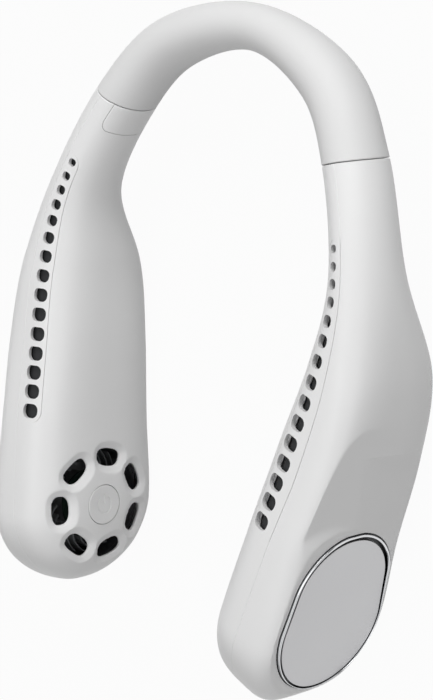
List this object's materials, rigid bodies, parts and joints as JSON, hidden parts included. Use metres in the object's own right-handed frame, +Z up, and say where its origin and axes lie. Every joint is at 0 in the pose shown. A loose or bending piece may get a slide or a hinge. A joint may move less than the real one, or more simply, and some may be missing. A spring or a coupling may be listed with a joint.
{
  "type": "neck fan",
  "caption": "Bladeless neck fan: a soft band with two hollow arms, each with a vent strip, an intake ring, an impeller and a flat plate in a bezel.",
  "frame": {"origin": "centre of the bounding box in X and Y, on the surface that the fan rests on", "axes": "+X to the right arm, +Y from the arm tips to the band's middle (the nape), +Z up; the left arm is at -X"},
  "size_m": [0.1588, 0.2004, 0.0517],
  "materials": {
    "band_soft": "matte",
    "shell_white": "satin",
    "button_white": "satin",
    "screen_dark": "matte",
    "bezel_chrome": "polished",
    "plate_silver": "satin",
    "spring_steel": "satin",
    "wire_red": "satin",
    "cell_blue": "satin",
    "inner_black": "matte",
    "motor_copper": "satin",
    "motor_steel": "satin",
    "screw_steel": "satin",
    "impeller_grey": "satin",
    "board_green": "satin",
    "switch_black": "satin",
    "port_steel": "satin"
  },
  "bodies": {
    "band": {"neck_sleeve": "band_soft", "bend_strip": "spring_steel", "band_wires": "wire_red"},
    "left_arm": {"left_outer_shell": "shell_white", "left_inner_shell": "shell_white", "left_vent_strip": "shell_white", "left_vent_screen": "screen_dark", "left_bezel": "bezel_chrome", "left_cover_plate": "plate_silver", "left_clamp_cover": "shell_white", "left_strip_clamp": "inner_black", "left_wires": "wire_red", "left_battery": "cell_blue", "left_battery_cradle": "inner_black", "left_scroll": "inner_black", "left_motor_plate": "inner_black", "left_stator": "motor_copper", "left_screws": "screw_steel", "button_board": "board_green", "tact_switch": "switch_black", "control_board": "board_green", "charge_port": "port_steel"},
    "right_arm": {"right_outer_shell": "shell_white", "right_inner_shell": "shell_white", "right_vent_strip": "shell_white", "right_vent_screen": "screen_dark", "right_bezel": "bezel_chrome", "right_cover_plate": "plate_silver", "right_clamp_cover": "shell_white", "right_strip_clamp": "inner_black", "right_wires": "wire_red", "right_battery": "cell_blue", "right_battery_cradle": "inner_black", "right_scroll": "inner_black", "right_motor_plate": "inner_black", "right_stator": "motor_copper", "right_screws": "screw_steel"},
    "left_fan": {"left_impeller": "impeller_grey", "left_rotor": "motor_steel"},
    "right_fan": {"right_impeller": "impeller_grey", "right_rotor": "motor_steel"},
    "button": {"power_button": "button_white", "switch_plunger": "switch_black"}
  },
  "joints": [
    {"name": "left_arm_flex", "type": "hinge", "parent": "band", "child": "left_arm", "pos_m": [-0.035, 0.082, 0.019], "axis": [0, 0, -1], "range_deg": [-8, 20], "deforming": ["neck_sleeve", "bend_strip", "band_wires"]},
    {"name": "right_arm_flex", "type": "hinge", "parent": "band", "child": "right_arm", "pos_m": [0.035, 0.082, 0.019], "axis": [0, 0, 1], "range_deg": [-8, 20], "deforming": ["neck_sleeve", "bend_strip", "band_wires"]},
    {"name": "left_fan_spin", "type": "hinge", "parent": "left_arm", "child": "left_fan", "pos_m": [-0.05412, -0.07379, 0.02555], "axis": [-0.9827, -0.1852, 0], "continuous": true},
    {"name": "right_fan_spin", "type": "hinge", "parent": "right_arm", "child": "right_fan", "pos_m": [0.05412, -0.07379, 0.02555], "axis": [0.9827, -0.1852, 0], "continuous": true},
    {"name": "button_press", "type": "slide", "parent": "left_arm", "child": "button", "axis": [-0.9827, -0.1852, 0], "range_m": [0, 0.0004], "stiffness_N_per_m": 1500, "springref_m": -0.0003}
  ]
}
